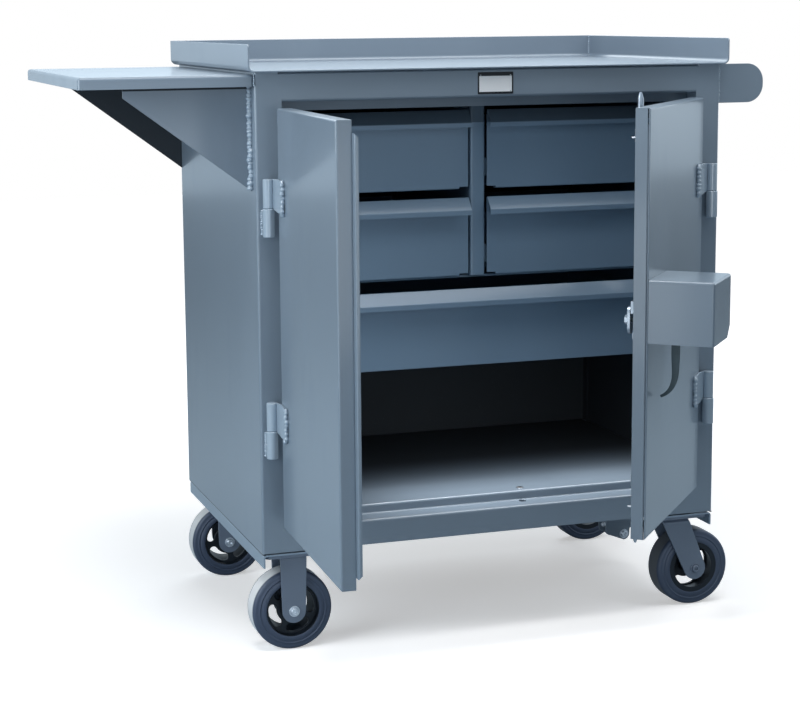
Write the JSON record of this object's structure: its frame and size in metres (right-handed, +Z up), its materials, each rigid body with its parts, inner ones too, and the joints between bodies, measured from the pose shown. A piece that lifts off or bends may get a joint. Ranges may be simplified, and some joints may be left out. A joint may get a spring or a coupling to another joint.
{
  "type": "tool cart",
  "caption": "Mobile steel tool cabinet with hinged doors, latch rods, drawers, raised-edge worktop, side shelf, push handle and casters.",
  "frame": {"origin": "on the floor, below the middle of the bounding box at rest", "axes": "+X to the right seen from the front, +Y from the doors to the back, +Z up"},
  "size_m": [1.3206, 1.0808, 1.1196],
  "materials": {
    "body_paint": "satin blue-grey powder coat",
    "drawer_paint": "satin blue-grey powder coat",
    "fork_paint": "satin grey paint over pressed steel",
    "lever": "dark satin steel",
    "zinc": "zinc plated",
    "chrome": "polished plating",
    "tyre": "moulded dark grey rubber",
    "hub": "black painted casting",
    "foot_rubber": "moulded rubber pad"
  },
  "bodies": {
    "cart": {"back_panel": "body_paint", "bank_side_left": "drawer_paint", "bank_side_right": "drawer_paint", "base_angle_left": "body_paint", "base_angle_right": "body_paint", "divider_shelf": "drawer_paint", "drawer_divider": "drawer_paint", "floor_lock_frame": "fork_paint", "handle_plate_front": "body_paint", "handle_plate_rear": "body_paint", "handle_tube": "body_paint", "header_rail": "body_paint", "hinge_barrel_lower_left": "body_paint", "hinge_barrel_lower_right": "body_paint", "hinge_barrel_upper_left": "body_paint", "hinge_barrel_upper_right": "body_paint", "left_side_panel": "body_paint", "right_side_panel": "body_paint", "rigid_fork_front": "fork_paint", "rigid_fork_rear": "fork_paint", "shelf_floor": "body_paint", "shelf_gusset_front": "body_paint", "shelf_gusset_rear": "body_paint", "side_shelf": "body_paint", "swivel_plate_front": "fork_paint", "swivel_plate_rear": "fork_paint", "worktop": "body_paint"},
    "left_door": {"astragal": "body_paint", "hinge_leaf_lower_left": "body_paint", "hinge_leaf_upper_left": "body_paint", "left_door_panel": "body_paint"},
    "right_door": {"hinge_leaf_lower_right": "body_paint", "hinge_leaf_upper_right": "body_paint", "lock_box": "body_paint", "right_door_panel": "body_paint", "rod_guide_lower": "zinc", "rod_guide_upper": "zinc"},
    "door_handle": {"latch_cam": "chrome", "latch_lever": "lever"},
    "upper_rod": {"latch_rod_upper": "chrome"},
    "lower_rod": {"latch_rod_lower": "chrome"},
    "floor_lock_pedal": {"floor_lock_pedal": "fork_paint"},
    "floor_lock_foot": {"floor_lock_foot": "foot_rubber"},
    "front_swivel": {"swivel_fork_front": "fork_paint"},
    "front_right_wheel": {"hub_front_right": "hub", "tyre_front_right": "tyre"},
    "front_left_wheel": {"hub_front_left": "hub", "tyre_front_left": "tyre"},
    "rear_swivel": {"swivel_fork_rear": "fork_paint"},
    "rear_right_wheel": {"hub_rear_right": "hub", "tyre_rear_right": "tyre"},
    "rear_left_wheel": {"hub_rear_left": "hub", "tyre_rear_left": "tyre"},
    "drawer_upper_left": {"drawer_upper_left": "drawer_paint"},
    "drawer_upper_right": {"drawer_upper_right": "drawer_paint"},
    "drawer_lower_left": {"drawer_lower_left": "drawer_paint"},
    "drawer_lower_right": {"drawer_lower_right": "drawer_paint"},
    "drawer_wide": {"drawer_wide": "drawer_paint"}
  },
  "joints": [
    {"name": "left_door_hinge", "type": "hinge", "parent": "cart", "child": "left_door", "pos_m": [-0.33025, -0.09283, 0.2536], "axis": [0, 0, -1], "range_deg": [-92.3, 87.7]},
    {"name": "right_door_hinge", "type": "hinge", "parent": "cart", "child": "right_door", "pos_m": [0.54575, -0.09283, 0.2536], "axis": [0, 0, 1], "range_deg": [-49.5, 130.5]},
    {"name": "latch_turn", "type": "hinge", "parent": "right_door", "child": "door_handle", "pos_m": [0.29745, -0.36616, 0.6338], "axis": [0.7604, -0.6494, 0], "range_deg": [0, 75]},
    {"name": "upper_rod_slide", "type": "slide", "parent": "right_door", "child": "upper_rod", "axis": [0, 0, -1], "range_m": [0, 0.016]},
    {"name": "lower_rod_slide", "type": "slide", "parent": "right_door", "child": "lower_rod", "axis": [0, 0, 1], "range_m": [0, 0.016]},
    {"name": "drawer_upper_left_slide", "type": "slide", "parent": "cart", "child": "drawer_upper_left", "axis": [0, -1, 0], "range_m": [0, 0.34]},
    {"name": "drawer_upper_right_slide", "type": "slide", "parent": "cart", "child": "drawer_upper_right", "axis": [0, -1, 0], "range_m": [0, 0.088]},
    {"name": "drawer_lower_left_slide", "type": "slide", "parent": "cart", "child": "drawer_lower_left", "axis": [0, -1, 0], "range_m": [0, 0.34]},
    {"name": "drawer_lower_right_slide", "type": "slide", "parent": "cart", "child": "drawer_lower_right", "axis": [0, -1, 0], "range_m": [0, 0.088]},
    {"name": "drawer_wide_slide", "type": "slide", "parent": "cart", "child": "drawer_wide", "axis": [0, -1, 0], "range_m": [0, 0.088]},
    {"name": "front_swivel_turn", "type": "hinge", "parent": "cart", "child": "front_swivel", "pos_m": [0.50075, -0.02653, 0.1905], "axis": [0, 0, 1], "continuous": true},
    {"name": "front_right_wheel_spin", "type": "hinge", "parent": "front_swivel", "child": "front_right_wheel", "pos_m": [0.54125, -0.02653, 0.0762], "axis": [0, 1, 0], "continuous": true},
    {"name": "front_left_wheel_spin", "type": "hinge", "parent": "cart", "child": "front_left_wheel", "pos_m": [-0.28525, -0.02653, 0.0762], "axis": [0, 1, 0], "continuous": true},
    {"name": "rear_swivel_turn", "type": "hinge", "parent": "cart", "child": "rear_swivel", "pos_m": [0.50075, 0.47307, 0.1905], "axis": [0, 0, 1], "continuous": true},
    {"name": "rear_right_wheel_spin", "type": "hinge", "parent": "rear_swivel", "child": "rear_right_wheel", "pos_m": [0.54125, 0.47307, 0.0762], "axis": [0, 1, 0], "continuous": true},
    {"name": "rear_left_wheel_spin", "type": "hinge", "parent": "cart", "child": "rear_left_wheel", "pos_m": [-0.28525, 0.47307, 0.0762], "axis": [0, 1, 0], "continuous": true},
    {"name": "floor_lock_pedal_hinge", "type": "hinge", "parent": "cart", "child": "floor_lock_pedal", "pos_m": [0.51175, 0.22327, 0.081], "axis": [0, 1, 0], "range_deg": [0, 45]},
    {"name": "floor_lock_foot_slide", "type": "slide", "parent": "cart", "child": "floor_lock_foot", "axis": [0, 0, -1], "range_m": [0, 0.0797]}
  ],
  "couplings": [
    {"joint": "upper_rod_slide", "follows": "latch_turn", "m_per_rad": 0.012223},
    {"joint": "lower_rod_slide", "follows": "latch_turn", "m_per_rad": 0.012223},
    {"joint": "floor_lock_foot_slide", "follows": "floor_lock_pedal_hinge", "m_per_rad": 0.10148}
  ]
}
